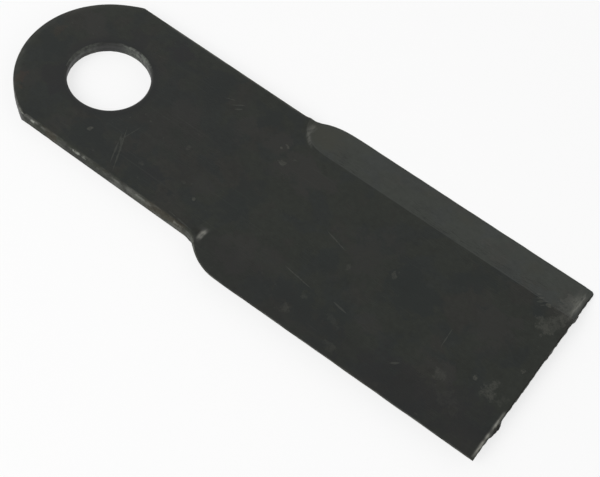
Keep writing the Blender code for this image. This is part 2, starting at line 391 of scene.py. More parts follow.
def rim(points, normals, upper_radius, lower_radius):
    """A strip round an outline: a quarter circle down, a straight wall, and a quarter circle under."""
    upper, lower = upper_radius[:, None], lower_radius[:, None]
    wall = np.linspace(0, 1, WALL_STEPS + 1)[1:-1]
    inset = np.concatenate([upper * (1 - LIP), 0 * upper * wall, lower * (1 - LIP[::-1])], axis=1)
    level = np.concatenate([
        THICKNESS - upper * LIP_DROP,
        (THICKNESS - upper) * (1 - wall) + lower * wall,
        lower * LIP_DROP[::-1],
    ], axis=1)
    plan = points[:, None] + normals[:, None] * inset[..., None]
    return np.concatenate([plan, level[..., None]], axis=-1)


def ray_face(outer, angle, radius, level):
    """Straight rays from a circle about the hole out to a closed line, all at one height."""
    inner = radius * np.stack([np.cos(angle), np.sin(angle)], -1)
    share = np.linspace(0, 1, RAY_STEPS + 1)[:, None, None]
    plan = inner * (1 - share) + outer * share
    return np.concatenate([plan, level + 0 * plan[..., :1]], axis=-1)


def hole_wall(angle):
    """Down the hole: a rolled lip, the burnished land, and a torn third that flares a little."""
    level = np.concatenate([
        THICKNESS - HOLE_ROLL * LIP_DROP,
        np.linspace(THICKNESS - HOLE_ROLL, 0, WALL_STEPS + 1)[1:],
    ])
    torn = HOLE_TEAR * np.clip(1 - 3 * level / THICKNESS, 0, 1)
    lip = np.concatenate([HOLE_ROLL * (1 - LIP), np.zeros(WALL_STEPS)])
    radius = (HOLE_RADIUS + torn + lip)[:, None]
    return np.stack([radius * np.cos(angle), radius * np.sin(angle), level[:, None] + 0 * angle], -1)


top_radius = BAR_EDGE_RADIUS + (CROP_ROLL - BAR_EDGE_RADIUS) * cropped
foot_radius = BAR_EDGE_RADIUS + (CROP_FOOT - BAR_EDGE_RADIUS) * cropped
head_rim = rim(outline, inward, top_radius, foot_radius)
cut_line = blade_upper[0, ROUND_STEPS + 1:-ROUND_STEPS - 1, :2]
around = np.concatenate([outline, cut_line])
around = np.arctan2(around[:, 1], around[:, 0])
upper_line = np.concatenate([head_rim[:, 0, :2], cut_line])
lower_line = np.concatenate([head_rim[:, -1, :2], cut_line])
head_upper = ray_face(upper_line, around, HOLE_RADIUS + HOLE_ROLL, THICKNESS)
head_lower = ray_face(lower_line, around, HOLE_RADIUS + HOLE_TEAR, 0)
print("the head has", len(around), "rays")

# %% [markdown]
# ## Welding the patches
#
# A grid of points becomes four-sided faces by index arithmetic alone. Each patch keeps the
# number of the finish that its faces take. The shared borders are then merged, and because the
# blade is one closed body, every edge must have exactly two faces.

# %% From grids to one closed mesh
FACE, SIDE, CUT = 0, 1, 2


def quads(rows, columns, closed):
    """The corner numbers of each cell of a grid, row by row, joined end to end where it is closed."""
    above = np.arange(rows - 1)[:, None] * columns
    below = above + columns
    left = np.arange(columns if closed else columns - 1)[None, :]
    right = (left + 1) % columns
    cell = (above + left, above + right, below + right, below + left)
    return np.stack(cell, -1).reshape(-1, 4)


def mesh_of(name, patches):
    """Puts (points, finish, closed) patches into one mesh."""
    count = np.cumsum([0] + [grid.shape[0] * grid.shape[1] for grid, _, _ in patches])
    points = np.concatenate([grid.reshape(-1, 3) for grid, _, _ in patches])
    cells = [quads(*grid.shape[:2], closed) + first for (grid, _, closed), first in zip(patches, count)]
    finish = np.concatenate([np.full(len(c), f) for c, (_, f, _) in zip(cells, patches)])
    corners = np.concatenate(cells)
    mesh = bpy.data.meshes.new(name)
    mesh.vertices.add(len(points))
    mesh.vertices.foreach_set("co", points.astype(np.float32).ravel())
    mesh.loops.add(corners.size)
    mesh.loops.foreach_set("vertex_index", corners.astype(np.int32).ravel())
    mesh.polygons.add(len(corners))
    mesh.polygons.foreach_set("loop_start", np.arange(0, corners.size, 4, dtype=np.int32))
    mesh.polygons.foreach_set("material_index", finish.astype(np.int32))
    mesh.update(calc_edges=True)
    return mesh


def weld(mesh):
    """Merges the points where patches meet and turns every face outwards. Returns the open edges."""
    bm = bmesh.new()
    bm.from_mesh(mesh)
    bmesh.ops.remove_doubles(bm, verts=bm.verts, dist=1e-6)
    bmesh.ops.recalc_face_normals(bm, faces=bm.faces)
    loose = sum(1 for edge in bm.edges if len(edge.link_faces) != 2)
    bm.to_mesh(mesh)
    bm.free()
    return loose


print("a strip of 3 by 4 points has", len(quads(3, 4, False)), "faces")

# %% All patches of the blade
near_wall = between(near_upper[:, -1], near_lower[:, -1], WALL_STEPS)
far_wall = between(far_upper[:, -1], far_lower[:, -1], WALL_STEPS)
arc = slice(np.flatnonzero(cropped > 0)[0] - 1, np.flatnonzero(cropped > 0)[-1] + 2)
patches = [
    (blade_upper[:-ROUND_STEPS, ROUND_STEPS:-ROUND_STEPS], FACE, False),
    (blade_lower[:-ROUND_STEPS, ROUND_STEPS:-ROUND_STEPS], FACE, False),
    (blade_upper[:-ROUND_STEPS, :ROUND_STEPS + 1], SIDE, False),
    (blade_upper[:-ROUND_STEPS, -ROUND_STEPS - 1:], SIDE, False),
    (blade_lower[:-ROUND_STEPS, :ROUND_STEPS + 1], SIDE, False),
    (blade_lower[:-ROUND_STEPS, -ROUND_STEPS - 1:], SIDE, False),
    (near_wall[:-ROUND_STEPS], SIDE, False),
    (far_wall[:-ROUND_STEPS], SIDE, False),
    (blade_upper[-ROUND_STEPS - 1:], CUT, False),
    (blade_lower[-ROUND_STEPS - 1:], CUT, False),
    (near_wall[-ROUND_STEPS - 1:], CUT, False),
    (far_wall[-ROUND_STEPS - 1:], CUT, False),
    (tip_cap(blade_upper[-1], blade_lower[-1]), CUT, False),
    (head_upper, FACE, True),
    (head_lower, FACE, True),
    (hole_wall(around), CUT, True),
    (head_rim[:arc.start + 1], SIDE, False),
    (head_rim[arc], CUT, False),
    (head_rim[arc.stop - 1:], SIDE, False),
]
blade_mesh = mesh_of("forged_blade", patches)
print("open edges after welding:", weld(blade_mesh), "and", len(blade_mesh.polygons), "faces")

# %% [markdown]
# ## What the forge and the rack did to it
#
# The clean form is too perfect. A real blade waves a little where scale was rolled into it, its
# thin edges are not straight, and the torn half of every cut is rough. Sculpting would do, but
# small functions of place do it the same way every time. Nearly all of them take metal away, and
# the ragged tip wanders outwards by far less than its burr does, so the blade keeps its sizes.

# %% Repeatable noise on a lattice


def lattice(cell, seed):
    """A fixed number between 0 and 1 for each whole-numbered cell, from the mixed bits of its place."""
    mixed = (cell * np.array([73856093, 19349663, 83492791])).sum(-1) + seed * 2654435
    mixed = mixed.astype(np.uint64) & 0xFFFFFFFF
    for _ in range(2):
        mixed = ((mixed >> np.uint64(16)) ^ mixed) * np.uint64(0x45D9F3B) & np.uint64(0xFFFFFFFF)
    return ((mixed >> np.uint64(16)) ^ mixed) / 2.0**32


def soft_noise(points, size, seed):
    """Noise from 0 to 1: lattice values at cells of the given size, eased from each to the next."""
    place = points / np.asarray(size)
    base = np.floor(place).astype(np.int64)
    part = eased(place - base)
    total = np.zeros(len(points))
    for corner in np.ndindex(2, 2, 2):
        weight = np.prod(np.where(corner, part, 1 - part), axis=-1)
        total += weight * lattice(base + np.array(corner), seed)
    return total


def band(value, low, high, soft):
    """1 between low and high, easing to 0 over soft on either side."""
    return eased((value - low) / soft + 0.5) * eased((high - value) / soft + 0.5)


def points_of(mesh, what="co", parts="vertices"):
    """One vector for every vertex of the mesh, its place or its normal, as an array."""
    flat = np.empty(len(getattr(mesh, parts)) * 3, np.float32)
    getattr(mesh, parts).foreach_get(what, flat)
    return flat.reshape(-1, 3).astype(float)


clean = points_of(blade_mesh)
print("noise on the blade averages", round(float(soft_noise(clean, 5 * MM, 1).mean()), 2))

# %% [markdown]
# ### Distances from the edges
#
# Wear starts at corners. So each point has to know how far it is from the nearest edge of the
# outline, and how far it lies below its own face. A shader can look for corners while it
# renders, but a number kept on the mesh is quicker and goes with the mesh.

# %% How far a point is from the blade's edges, in plan and in height


def inset_from_outline(p):
    """The plan distance in from the nearest edge: the sides, the tip, the crop or the hole."""
    x, y = p[:, 0], p[:, 1]
    out = y - middle_line(x)
    wide = half_width(x - np.sign(out) * PRESS_MISMATCH)
    crop = np.where(x < CROP_CENTRE, CROP_RADIUS - np.hypot(x - CROP_CENTRE, y - BAR_DRIFT), 1)
    return np.min([wide - np.abs(out), tip_line(y) - x, crop, np.hypot(x, y) - HOLE_RADIUS], axis=0)


def below_faces(p):
    """The height distance to the nearer face, upper or lower."""
    x, y, z = p.T
    return np.minimum(THICKNESS - depth_above(x, y) - z, z - depth_below(x, y))


corner_gap = np.hypot(np.clip(inset_from_outline(clean), 0, 1), np.clip(below_faces(clean), 0, 1))
print("points within half a millimetre of a corner:", int((corner_gap < 0.5 * MM).sum()))

# %% [markdown]
# ### The ledge opposite each wedge
#
# Where the die's plate ended under the flat face, the metal was squeezed over its edge. The face
# sinks gently towards it and comes back up a steep little riser, which catches the light. It
# could be a crease in the grid, but a sink that is worked out for each point bends as it likes.

# %% The ledge
LEDGE_PLACE = 59.0 * MM
LEDGE_DEPTH = 0.75 * MM
LEDGE_RUN = 4.5 * MM  # the face sinks over this stretch, and comes back over the next
LEDGE_RISE = 2.3 * MM
LEDGE_MIDDLE = 28.0 * MM
LEDGE_REACH = 3.6 * MM  # how far it runs to either side of its middle
LEDGE_BOW = 150.0  # how strongly it bends towards the blade at its ends, per metre


def ledge_place(out):
    """Where the ledge's riser starts: a shallow bow, furthest from the tip at its middle."""
    return LEDGE_PLACE + LEDGE_BOW * np.clip(out - LEDGE_MIDDLE, -LEDGE_REACH, LEDGE_REACH) ** 2


def ledge_share(out):
    """1 along the ledge's middle, easing to 0 at both ends."""
    return eased((LEDGE_REACH - np.abs(out - LEDGE_MIDDLE)) / (0.85 * LEDGE_REACH))


def ledge(x, out):
    """The die's ledge: the face sinks as a parabola, then comes back up a riser."""
    place = ledge_place(out)
    sinking = np.clip(1 - (place - x) / LEDGE_RUN, 0, 1) ** 2
    rising = np.clip(1 - (x - place) / LEDGE_RISE, 0, 1)
    return LEDGE_DEPTH * ledge_share(out) * np.where(x < place, sinking, eased(rising))


print("the ledge bends by", round(float(ledge_place(LEDGE_MIDDLE + LEDGE_REACH) - LEDGE_PLACE) / MM, 2), "mm")

# %% [markdown]
# ### Painted highlights
#
# The bright places that light catches on tilted steel are painted in as highlights: on the ledge's
# riser, round the wedge's shank end and along the sheared edge, where the steel is also made a
# little metallic. A faint lighter rim runs round the crop. These places follow the form, so they are
# worked out here as one number for each point, and the finishes turn it into colour.

# %% Where the highlights are painted, and how strongly
# strengths of the painted highlights, and of the faint lighter rim round the crop
LEDGE_HIGHLIGHT = 0.25
END_HIGHLIGHT = 0.13
BURR_HIGHLIGHT = 0.48
CORNER_HIGHLIGHT = 0.34
CORNER_HIGHLIGHT_HAZE = 0.1
CROP_LIGHTENING = 0.07
END_PLACE = 61.7 * MM  # the wedge's shank end, whose inner part leans towards the tip
END_LEAN = 12.0  # how strongly, per square root of a metre


def ledge_highlight(p, out):
    """A painted highlight on the ledge's riser: a streaky crescent, widest in its middle."""
    share = ledge_share(-out)
    streaks = 0.35 + 1.3 * soft_noise(p, [2.4 * MM, 1.1 * MM, 9 * MM], 12)
    riser = band(p[:, 0] - ledge_place(-out), 0.3 * MM, (0.6 + 1.4 * share) * MM, 1.2 * MM)
    return LEDGE_HIGHLIGHT * share * riser * streaks


def wedge_end_highlight(p, out):
    """A painted highlight across the wedge's rounded end: a thin arc that leans towards the tip."""
    bow = END_PLACE + END_LEAN * np.clip(26 * MM - out, 0, 1) ** 1.5
    arc_share = band(p[:, 0] - bow, -0.6 * MM, 0.9 * MM, 1.4 * MM)
    return END_HIGHLIGHT * arc_share * band(out, 21.5 * MM, 29.6 * MM, 2.5 * MM)


def tip_highlights(p):
    """Painted highlights at the sheared edge: a broken line beside the long burr, and blotches on the wedge's
    end.
    """
    y = p[:, 1]
    gap = tip_line(y) - p[:, 0]
    spots = 0.25 + 0.75 * eased((soft_noise(p, [9 * MM, 1.7 * MM, 9 * MM], 11) - 0.35) / 0.3)
    line = BURR_HIGHLIGHT * band(gap, 0.25 * MM, 1.0 * MM, 0.35 * MM) * band(y, -35 * MM, -17.5 * MM, 2.5 * MM)
    blotches = soft_noise(p, [1.6 * MM, 2.6 * MM, 9 * MM], 13)
    near = CORNER_HIGHLIGHT * band(gap, 1.3 * MM, 2.4 * MM, 1.2 * MM) * band(y, 23.5 * MM, 34 * MM, 4 * MM)
    wide = CORNER_HIGHLIGHT_HAZE * band(gap, 1.0 * MM, 4.5 * MM, 2.5 * MM) * band(y, 21 * MM, 35 * MM, 5 * MM)
    return np.maximum(spots * line, blotches * (near + wide))


def lighter_crop_rim(p):
    """A faint rim round the head, fading towards the hole and towards the shank."""
    rim_share = eased((2.8 * MM - inset_from_outline(p)) / (2.4 * MM))
    head_share = eased((-10 * MM - p[:, 0]) / (12 * MM))
    return CROP_LIGHTENING * rim_share * head_share * soft_noise(p, [2.1 * MM, 2.1 * MM, 9 * MM], 14)


def painted_highlight(p, is_upper):
    """All painted highlights and the lighter crop rim. Both faces have the ledge and the wedge's end, the
    upper one has the rest.
    """
    out = (p[:, 1] - middle_line(p[:, 0])) * np.where(is_upper, 1, -1)
    pressed = np.where(out < 0, ledge_highlight(p, out), wedge_end_highlight(p, out))
    return np.maximum(pressed, is_upper * tip_highlights(p)) + is_upper * lighter_crop_rim(p)


above = depth_above(clean[:, 0], clean[:, 1])
below = depth_below(clean[:, 0], clean[:, 1])
is_upper = clean[:, 2] > (THICKNESS - above + below) / 2
highlight_values = painted_highlight(clean, is_upper)
print("the brightest place is rubbed by", round(float(highlight_values.max()), 2))

# %% [markdown]
# ### The worn surface
#
# Now the points move: along their normals for waves and tears, along the blade at the ragged
# tip, down at the ledges and inwards at the thin edges. Doing this before the mesh is shaded
# means that outline, shadow and highlights all agree, which a bump in the finish can't do.

# %% Move the points
WAVES = ((0.05, 23, 1), (0.022, 7, 2), (0.008, 2.2, 3))  # depth and size in mm, and seed
TEAR_LEVEL = 0.55 * THICKNESS  # a cut is torn below this height
TEAR_BLEND = 0.15 * THICKNESS
TEAR_DEPTH = 0.09 * MM
ROLLED_DEPTH = 0.02 * MM  # of the faint ripples that rolling left on the sides
ROLLED_BAND = 3 * MM  # a side's rounding lies within this distance of the outline
ROLLED_START = 1 * MM
ROLLED_END = 162 * MM  # past this and before the start, the walls are cuts
TIP_WANDER = 0.2 * MM  # how far the ragged tip may stand proud of its line
TIP_RAGGED = 0.34 * MM
TIP_TEETH = 0.16 * MM  # finer than the rest, and deeper on the burrs
BURR_TEETH = 0.3
THIN_BAND = 4 * MM  # a cutting edge wavers within this distance of the outline
THIN_START = 64 * MM
THIN_EASE = 8 * MM


def waves(p):
    """How far a face sinks: three sizes of noise, added up."""
    return sum(depth * MM * soft_noise(p, size * MM, seed) for depth, size, seed in WAVES)


def worn(p, normals):
    """The points after use: waves on the faces, ledges, torn walls and wavering cutting edges."""
    x, y, z = p.T
    out = y - middle_line(x)
    side = np.sign(out)
    facing = eased((np.abs(normals[:, 2]) - 0.75) / 0.2)
    at_side = np.abs(out) > half_width(x) - ROLLED_BAND
    rolled_side = at_side & (x >= ROLLED_START) & (x <= ROLLED_END)
    torn = (1 - facing) * eased((TEAR_LEVEL - z) / TEAR_BLEND) * ~rolled_side
    rough = TEAR_DEPTH * soft_noise(p, [1.1 * MM, 1.1 * MM, 2.5 * MM], 4)
    rolled = ROLLED_DEPTH * soft_noise(p, [9 * MM, 2 * MM, 1.2 * MM], 5)
    away = facing * waves(p) + (1 - facing) * rolled + torn * rough
    p = p - normals * away[:, None]
    ragged = TIP_RAGGED * soft_noise(p, [9 * MM, 1.5 * MM, 2.2 * MM], 8) - TIP_WANDER
    ragged += (TIP_TEETH + BURR_TEETH * burr(y)) * soft_noise(p, [9 * MM, 0.8 * MM, 1.4 * MM], 9)
    p[:, 0] -= eased((x - tip_line(y) + 0.9 * MM) / (0.8 * MM)) * ragged
    p[:, 2] -= np.where(side < 0, ledge(x, -out) * (z > THICKNESS / 2), -ledge(x, out) * (z < THICKNESS / 2))
    thin = eased(1 - (half_width(x) - np.abs(out)) / THIN_BAND) * eased((x - THIN_START) / THIN_EASE)
    along = p * [1, 0, 0]
    waver = 0.08 * MM * soft_noise(along, 6 * MM, 6) + 0.05 * MM * soft_noise(along, 1.9 * MM, 7)
    p[:, 1] -= side * thin * waver
    return p


final = worn(clean, points_of(blade_mesh, "vector", "vertex_normals"))
blade_mesh.vertices.foreach_set("co", final.astype(np.float32).ravel())
blade_mesh.update()
print("the deepest dent is", round(float(np.linalg.norm(final - clean, axis=1).max()) / MM, 2), "mm")

# %% Keep the masks that the finishes read, in millimetres or as shares


def put_mask(mesh, name, values):
    """Keeps a number for every point, which the finishes read by its name."""
    layer = mesh.attributes.new(name, "FLOAT", "POINT")
    layer.data.foreach_set("value", values.astype(np.float32))


put_mask(blade_mesh, "sunk", np.where(is_upper, above, below) / MM)
put_mask(blade_mesh, "behind", np.where(is_upper, below, above) / MM)
# the painted highlights and the lighter crop rim, as one mask
put_mask(blade_mesh, "painted_highlight", highlight_values)
put_mask(blade_mesh, "rim", corner_gap / MM)
masks = [layer.name for layer in blade_mesh.attributes if layer.data_type == "FLOAT"]
print("masks on the mesh:", masks)

# %% The blade as an object
blade = bpy.data.objects.new("forged_blade", blade_mesh)
bpy.context.scene.collection.objects.link(blade)
blade_mesh.shade_smooth()
blade_mesh.set_sharp_from_angle(angle=math.radians(50))
print(blade.name, "has", len(blade_mesh.vertices), "points")

# %% [markdown]
# ## Finishes from nodes
#
# Forging scale is a dark oxide skin, not bare metal: it takes a dull sheen and shows faint green,
# blue and brown tints where it is thicker or thinner. Painting an image would be one way, but a
# pattern worked out from the place on the blade has no seams and no limit of sharpness. The
# effects that more than one finish uses are node groups with named sockets.

# %% Small helpers for building nodes


def fill(tree, node, inputs):
    """Links the inputs that are given as sockets and sets the others to their values."""
    for name, value in dict(inputs).items():
        if isinstance(value, bpy.types.NodeSocket):
            tree.links.new(value, node.inputs[name])
        else:
            node.inputs[name].default_value = value


def add(tree, kind, inputs=(), output=0, **settings):
    """Adds a node with its properties and inputs, and returns one of its outputs."""
    node = tree.nodes.new("ShaderNode" + kind)
    for name, value in settings.items():
        setattr(node, name, value)
    fill(tree, node, inputs)
    return node.outputs[output]


def calc(tree, operation, a, b=0.0, c=0.0):
    """One step of arithmetic on sockets or numbers."""
    return add(tree, "Math", {0: a, 1: b, 2: c}, operation=operation)


def times(tree, product, *factors):
    """The product of masks and numbers."""
    for factor in factors:
        product = calc(tree, "MULTIPLY", product, factor)
    return product


def strongest(tree, masks):
    """The highest of several masks."""
    total = masks[0]
    for mask in masks[1:]:
        total = calc(tree, "MAXIMUM", total, mask)
    return total


def part_of(tree, vector, axis):
    """One of a vector's three numbers."""
    return add(tree, "SeparateXYZ", {"Vector": vector}, axis)


def vector_number(tree, operation, a, b=(0, 0, 0)):
    """The number that a vector operation gives: a length, a distance or a dot product."""
    return add(tree, "VectorMath", {0: a, 1: b}, 1, operation=operation)


def kept(tree, name):
    """A mask that was kept on the mesh."""
    return add(tree, "Attribute", output="Fac", attribute_name=name)


# %% Ramps, patterns and blends


def smooth_step(tree, value, low, high):
    """0 below low, 1 above high and an S between; with low above high it falls instead."""
    return add(tree, "MapRange", {"Value": value, "From Min": low, "From Max": high},
               interpolation_type="SMOOTHSTEP")


def noise(tree, vector, scale, detail=2.0, roughness=0.5, distortion=0.0):
    """Cloudy noise, mostly between 0.3 and 0.7."""
    return add(tree, "TexNoise", {"Vector": vector, "Scale": scale, "Detail": detail,
                                  "Roughness": roughness, "Distortion": distortion})


def stretched(tree, vector, scale, turn=0.0):
    """The pattern's own space: turned about the vertical and scaled by three numbers."""
    return add(tree, "Mapping", {"Vector": vector, "Scale": scale, "Rotation": (0, 0, turn)})


def blend(tree, share, a, b):
    """Colour a where share is 0 and colour b where it is 1."""
    return add(tree, "Mix", {0: share, 6: a, 7: b}, 2, data_type="RGBA")


# %% Node groups and colours


def group_of(name, inputs, outputs):
    """A new node group. Inputs are (name, kind, value) and outputs (name, kind)."""
    tree = bpy.data.node_groups.new(name, "ShaderNodeTree")
    for label, kind, value in inputs:
        socket = tree.interface.new_socket(label, in_out="INPUT", socket_type="NodeSocket" + kind)
        socket.default_value = value
    for label, kind in outputs:
        tree.interface.new_socket(label, in_out="OUTPUT", socket_type="NodeSocket" + kind)
    return tree, tree.nodes.new("NodeGroupInput").outputs, tree.nodes.new("NodeGroupOutput").inputs


def use(tree, group, inputs):
    """Places a node group and returns its only output."""
    node = tree.nodes.new("ShaderNodeGroup")
    node.node_tree = group
    fill(tree, node, inputs)
    return node.outputs[0]


def screen(red, green, blue):
    """A colour as a screen shows it, from 0 to 255, turned into light."""
    tone = np.array([red, green, blue]) / 255
    light = np.where(tone < 0.04045, tone / 12.92, ((tone + 0.055) / 1.055) ** 2.4)
    return (*(float(v) for v in light), 1.0)


print("middle grey on a screen is", round(screen(128, 128, 128)[0], 3), "as light")

# %% [markdown]
# ### Scale tints
#
# Three dull tints drift into each other over a centimetre or two, with a fine mottling on top.
# The patches could be painted by hand, but two noises as masks give them wherever they are used.

# %% The tint group
GREEN_SCALE = screen(38.2, 41, 36)
BROWN_SCALE = screen(40.3, 40.8, 37)
BLUE_SCALE = screen(35.6, 39, 36.6)


def tint_group():
    """Brown and blue patches over green, lightened and darkened by large clouds and fine mottling."""
    tree, given, result = group_of("scale_tints", [
        ("Vector", "Vector", (0, 0, 0)), ("Green", "Color", GREEN_SCALE), ("Brown", "Color", BROWN_SCALE),
        ("Blue", "Color", BLUE_SCALE), ("Mottle", "Float", 0.3), ("Clouds", "Float", 0.5),
    ], [("Color", "Color")])
    place = given["Vector"]
    brown = smooth_step(tree, noise(tree, place, 62, 3, 0.6, 0.4), 0.50, 0.60)
    shifted = add(tree, "Mapping", {"Vector": place, "Location": (0.31, 0.17, 0.05)})
    blue = smooth_step(tree, noise(tree, shifted, 75, 3, 0.6, 0.4), 0.50, 0.60)
    tint = blend(tree, brown, given["Green"], given["Brown"])
    tint = blend(tree, blue, tint, given["Blue"])
    fine = noise(tree, place, 520, 5, 0.65)
    clouds = noise(tree, shifted, 85, 3, 0.6)
    level = calc(tree, "MULTIPLY_ADD", calc(tree, "SUBTRACT", clouds, 0.5), given["Clouds"], 1.0)
    level = calc(tree, "MULTIPLY_ADD", calc(tree, "SUBTRACT", fine, 0.5), given["Mottle"], level)
    tree.links.new(add(tree, "VectorMath", {0: tint, 3: level}, operation="SCALE"), result["Color"])
    return tree


SCALE_TINTS = tint_group()
print("the tint group has", len(SCALE_TINTS.nodes), "nodes")

# %% [markdown]
# ### Pits, hairlines and wear
#
# Scale is pitted like orange peel. Sliding past other blades leaves hairline scratches, and the
# corners lose their scale first, so they go bright. Each effect is a group that puts out one
# mask or height, and the finish that places it decides what the mask does.

# %% The pit group


def pit_group():
    """A height that dips in each cell of a fine pattern, more so in some regions than in others."""
    tree, given, result = group_of("scale_pits", [
        ("Vector", "Vector", (0, 0, 0)), ("Size", "Float", 900.0), ("Share", "Float", 0.4),
    ], [("Height", "Float")])
    place = given["Vector"]
    cell = add(tree, "TexVoronoi", {"Vector": place, "Scale": given["Size"]}, feature="SMOOTH_F1")
    where = smooth_step(tree, noise(tree, place, 160, 3, 0.6), 0.62, 0.40)
    pit = calc(tree, "SUBTRACT", smooth_step(tree, cell, 0.1, 0.45), 1.0)
    depth = times(tree, where, given["Share"])
    tree.links.new(calc(tree, "MULTIPLY_ADD", pit, depth, 1.0), result["Height"])
    return tree


SCALE_PITS = pit_group()
print("the pit group has", len(SCALE_PITS.nodes), "nodes")

# %% The hairline group


def hairline_group():
    """Three bundles of fine lines in different directions, each the crests of a stretched noise."""
    tree, given, result = group_of("hairlines", [
        ("Vector", "Vector", (0, 0, 0)), ("Share", "Float", 0.5),
    ], [("Mask", "Float")])
    lines = []
    for turn, length, shift in ((0.35, 22, 0.0), (-0.5, 30, 3.7), (1.2, 34, 8.1)):
        space = add(tree, "Mapping", {
            "Vector": given["Vector"], "Scale": (length, 1500, 1500), "Rotation": (0, 0, turn),
            "Location": (shift, shift, 0),
        })
        lines.append(smooth_step(tree, noise(tree, space, 1, 1, 0.4), 0.70, 0.76))
    where = smooth_step(tree, noise(tree, given["Vector"], 45, 2), 0.45, 0.62)
    tree.links.new(times(tree, strongest(tree, lines), where, given["Share"]), result["Mask"])
    return tree


HAIRLINES = hairline_group()
print("the hairline group has", len(HAIRLINES.nodes), "nodes")

# %% The edge wear group


def wear_group():
    """1 within a wandering reach of a corner: reach times 1 plus or minus twice ragged, by noise."""
    tree, given, result = group_of("edge_wear", [
        ("Vector", "Vector", (0, 0, 0)), ("Rim", "Float", 1.0), ("Reach", "Float", 0.5),
        ("Ragged", "Float", 0.6),
    ], [("Mask", "Float")])
    wander = noise(tree, given["Vector"], 260, 4, 0.65)
    least = calc(tree, "MULTIPLY_ADD", given["Ragged"], -2.0, 1.0)
    reach = calc(tree, "MULTIPLY_ADD", wander, times(tree, given["Ragged"], 4.0), least)
    reach = calc(tree, "MAXIMUM", times(tree, given["Reach"], reach), 0.01)
    gap = calc(tree, "DIVIDE", given["Rim"], reach)
    tree.links.new(smooth_step(tree, gap, 1.0, 0.3), result["Mask"])
    return tree


EDGE_WEAR = wear_group()
print("the edge wear group has", len(EDGE_WEAR.nodes), "nodes")

# %% [markdown]
# ### Single marks
#
# Some marks in the photograph are worth placing one by one: a few scratches, flakes where the
# scale has lifted near the tip, and the larger patches of tint. A scratch is the distance to a
# line between two points, and a flake is the distance to a centre with a noisy border.

# %% The scratch group


def scratch_group():
    """1 close to the line from Start to End, which thins towards both ends and where Broken is low."""
    tree, given, result = group_of("scratch", [
        ("Vector", "Vector", (0, 0, 0)), ("Start", "Vector", (0, 0, 0)),
        ("End", "Vector", (0.01, 0, 0)), ("Width", "Float", 0.0002), ("Broken", "Float", 1.0),
    ], [("Mask", "Float")])
    place = add(tree, "VectorMath", {0: given["Vector"], 1: (1, 1, 0)}, operation="MULTIPLY")
    line = add(tree, "VectorMath", {0: given["End"], 1: given["Start"]}, operation="SUBTRACT")
    away = add(tree, "VectorMath", {0: place, 1: given["Start"]}, operation="SUBTRACT")
    along = vector_number(tree, "DOT_PRODUCT", away, line)
    share = calc(tree, "DIVIDE", along, vector_number(tree, "DOT_PRODUCT", line, line))
    held = add(tree, "Clamp", {"Value": share})
    near = add(tree, "VectorMath", {0: line, 3: held}, operation="SCALE")
    gap = vector_number(tree, "DISTANCE", away, near)
    taper = calc(tree, "SINE", times(tree, held, math.pi))
    width = calc(tree, "MAXIMUM", times(tree, given["Width"], taper, given["Broken"]), 1e-6)
    tree.links.new(smooth_step(tree, calc(tree, "DIVIDE", gap, width), 1.0, 0.4), result["Mask"])
    return tree


SCRATCH = scratch_group()
print("the scratch group has", len(SCRATCH.nodes), "nodes")

# %% The flake group


def flake_group():
    """1 inside a turned ellipse whose border wanders by a given amount and is as soft as asked."""
    tree, given, result = group_of("flake", [
        ("Vector", "Vector", (0, 0, 0)), ("Centre", "Vector", (0, 0, 0)),
        ("Size", "Vector", (0.003, 0.002, 1)), ("Turn", "Float", 0.0), ("Wander", "Float", 0.0),
        ("Soft", "Float", 0.15),
    ], [("Mask", "Float")])
    away = add(tree, "VectorMath", {0: given["Vector"], 1: given["Centre"]}, operation="SUBTRACT")
    turned = add(tree, "VectorRotate", {"Vector": away, "Angle": given["Turn"]}, rotation_type="Z_AXIS")
    local = add(tree, "VectorMath", {0: turned, 1: given["Size"]}, operation="DIVIDE")
    gap = calc(tree, "ADD", vector_number(tree, "LENGTH", local), given["Wander"])
    inner = calc(tree, "SUBTRACT", 1.0, given["Soft"])
    tree.links.new(smooth_step(tree, gap, 1.0, inner), result["Mask"])
    return tree


FLAKE = flake_group()
print("shared effects:", [group.name for group in bpy.data.node_groups])

# %% Whole lists of marks as one mask


def scratches(tree, place, marks):
    """All scratches of a list. A mark is x and y of both ends and the width, in millimetres."""
    broken = smooth_step(tree, noise(tree, place, 420, 3, 0.7), 0.3, 0.6)
    return strongest(tree, [use(tree, SCRATCH, {
        "Vector": place, "Broken": broken, "Width": width * MM,
        "Start": (x * MM, y * MM, 0), "End": (end_x * MM, end_y * MM, 0),
    }) for x, y, end_x, end_y, width in marks])


def flakes(tree, place, marks, soft, ragged=3.2, fineness=420):
    """All flakes of a list. A mark is x, y, half length and half width in mm, turn and strength."""
    wander = calc(tree, "SUBTRACT", noise(tree, place, fineness, 4, 0.7), 0.5)
    wander = times(tree, wander, ragged)
    masks = []
    for x, y, half_length, half_wide, turn, strength in marks:
        mask = use(tree, FLAKE, {
            "Vector": place, "Wander": wander, "Soft": soft, "Turn": turn,
            "Centre": (x * MM, y * MM, THICKNESS), "Size": (half_length * MM, half_wide * MM, 1),
        })
        masks.append(times(tree, mask, strength))
    return strongest(tree, masks)
